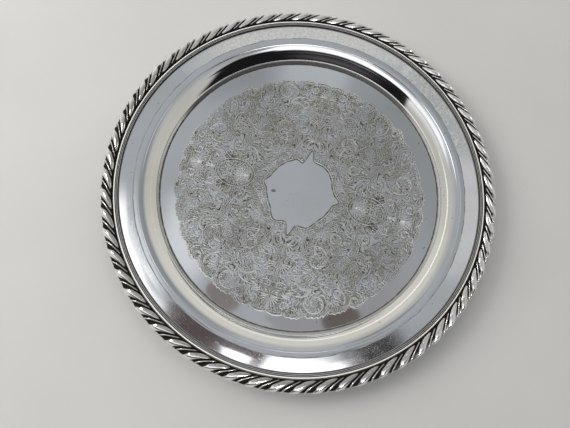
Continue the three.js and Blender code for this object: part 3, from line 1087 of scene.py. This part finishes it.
def make_world():
    """Room round the salver by direction: cream walls, cooler ceiling, a dark side nearest the camera."""
    world = bpy.data.worlds.new("room")
    world.use_nodes = True
    bpy.context.scene.world = world
    n = Nodes(world.node_tree)
    n.tree.nodes.clear()
    x, y, z = n.parts(n.add("ShaderNodeTexCoord").outputs["Generated"])
    height = n.times(n.math("ARCSINE", z), 180 / math.pi)
    heading = n.times(n.math("ARCTAN2", y, x), 180 / math.pi)  # -180 to 180

    def rising(low, high):
        return n.between(height, low, high)

    def off_heading(degrees):
        turned = n.math("MODULO", n.math("ADD", heading, 900 - degrees), 360)
        return n.math("ABSOLUTE", n.minus(turned, 180))

    def about(degrees, inner, outer):
        """1 within inner degrees of a heading, fading to 0 at outer."""
        return n.between(off_heading(degrees), outer, inner)

    def level(low, high, soft):
        return n.times(rising(low - soft, low + soft), rising(high + soft, high - soft))

    low_walls = n.mix(about(90, 40, 75), (0.54, 0.528, 0.482), (0.67, 0.655, 0.60))
    walls = n.mix(rising(14, 44), low_walls, (0.48, 0.48, 0.466))
    room = n.mix(rising(44, 58), walls, (0.39, 0.41, 0.435))
    shade = n.times(about(38, 18, 44), rising(76, 60), rising(30, 48))
    low_zenith = n.times(about(350, 24, 48), rising(66, 74))
    cloud = n.times(about(96, 5, 12), level(48, 61, 2))
    bright = n.times(about(77, 5, 10), level(48, 60, 3))
    side = n.times(about(206, 28, 42), rising(28, 44), rising(74, 54))
    band = n.times(about(258, 34, 52), rising(41, 51), rising(88, 64))
    sloping = n.plus(height, (n.between(off_heading(250), 58, 82), 26))
    above = rising(8, 12)
    middle = n.times(about(268, 58, 61), above, n.between(sloping, 45, 40))
    left_end = n.times(about(310, 19, 25), above, n.between(sloping, 54, 45))
    haze = n.times(about(254, 6, 34), level(31, 38, 4))
    for share, colour in ((shade, (0.27, 0.285, 0.295)), (low_zenith, (0.31, 0.31, 0.325)),
                          (cloud, (0.27, 0.285, 0.30)), (bright, (0.45, 0.475, 0.505)),
                          (side, (1.08, 1.09, 1.11)), (band, (1.25, 1.28, 1.36)),
                          (n.most(middle, left_end), (0.009, 0.009, 0.010)), (haze, (0.085, 0.078, 0.085))):
        room = n.mix(share, room, colour)
    background, plain = (n.add("ShaderNodeBackground") for _ in range(2))
    n.feed(background.inputs[0], room)
    n.feed(plain.inputs[0], (0.6, 0.59, 0.58, 1))
    seen = n.add("ShaderNodeLightPath").outputs["Is Camera Ray"]
    n.end("ShaderNodeOutputWorld", seen, background.outputs[0], plain.outputs[0])


def card(name, at, size, turn, colour, edge_from):
    """Flat oval panel facing down that only shows in the polished metal; it fades out from a share of
    its half size to its rim."""
    mesh = bpy.data.meshes.new(name)
    rings, steps = 6, 40
    points = [(0, 0, 0)]
    for k in range(1, rings + 1):
        for j in range(steps):
            a = 2 * math.pi * j / steps
            points.append((math.cos(a) * k / rings * size[0] / 2, math.sin(a) * k / rings * size[1] / 2, 0))
    faces = [(0, 1 + (j + 1) % steps, 1 + j) for j in range(steps)]
    for k in range(rings - 1):
        low, high = 1 + k * steps, 1 + (k + 1) * steps
        faces += [(low + j, low + (j + 1) % steps, high + (j + 1) % steps, high + j) for j in range(steps)]
    mesh.from_pydata(points, [], faces)
    material = bpy.data.materials.new(name)
    material.use_nodes = True
    n = Nodes(material.node_tree)
    n.tree.nodes.clear()
    glow = n.add("ShaderNodeEmission")
    n.feed(glow.inputs[0], (*colour, 1))
    clear = n.add("ShaderNodeBsdfTransparent")
    place = n.add("ShaderNodeTexCoord").outputs["Object"]
    reach = n.vector("LENGTH", n.vector("DIVIDE", place, (size[0] / 2, size[1] / 2, 1)))
    n.end("ShaderNodeOutputMaterial", n.between(reach, 1.0, edge_from), clear.outputs[0], glow.outputs[0])
    mesh.materials.append(material)
    panel = into_scene(name, mesh)
    panel.location = at
    panel.rotation_euler = (0, 0, math.radians(turn))
    panel.visible_camera = False
    panel.visible_diffuse = False
    panel.visible_shadow = False


make_world()
for name, at, size, power in (("soft_key", (-1.15, 0.35, 0.8), (0.75, 0.75), 14),
                              ("far_fill", (0.1, 1.4, 1.7), (1.8, 1.2), 9)):
    lamp(name, at, (0.0, 0.0, 0.0), size, power, (1.0, 0.985, 0.96)).visible_glossy = False
WHITE, DARK, PALE = 0.66, 0.65, 0.67  # heights of the cards
card("white_left", (-0.069, 0.144, WHITE), (0.116, 0.071), 113, (2.2, 2.2, 2.25), 0.4)
card("white_near", (0.061, 0.058, WHITE), (0.096, 0.050), -2, (2.2, 2.2, 2.25), 0.8)
card("white_spot", (0.007, 0.067, DARK - 0.005), (0.025, 0.038), -10, (1.8, 1.8, 1.85), 0.85)
card("dark_near_left", (-0.020, 0.063, DARK), (0.104, 0.072), -30, (0.08, 0.057, 0.06), 0.85)
card("dark_near_right", (0.123, 0.049, DARK), (0.056, 0.078), 25, (0.006, 0.003, 0.003), 0.8)
card("pale_right", (0.213, 0.158, PALE), (0.075, 0.125), 0, (0.575, 0.585, 0.60), 0.8)
card("dark_ring_left", (-0.120, -0.055, DARK), (0.09, 0.06), -36, (0.22, 0.19, 0.19), 0.8)
card("dark_ring_right", (0.145, -0.108, DARK), (0.095, 0.065), 14, (0.13, 0.11, 0.102), 0.8)
card("pale_left", (-0.215, 0.082, PALE), (0.145, 0.31), 8, (0.69, 0.71, 0.74), 0.3)
border_lit = bpy.data.collections.new("border_lit")
for piece in border:
    border_lit.objects.link(piece)
for name, at, size, power in (("glint_left", (-0.7, 0.25, 0.75), (0.25, 0.25), 2.5),
                              ("glint_right", (0.75, 0.3, 0.7), (0.22, 0.22), 0.4),
                              ("glint_near", (0.1, -0.8, 0.7), (0.25, 0.2), 3)):
    lamp(name, at, (0, 0, 0), size, power, (1.0, 1.0, 1.0)).light_linking.receiver_collection = border_lit
bpy.context.scene.view_settings.view_transform = "Standard"
bpy.context.scene.view_settings.look = "None"
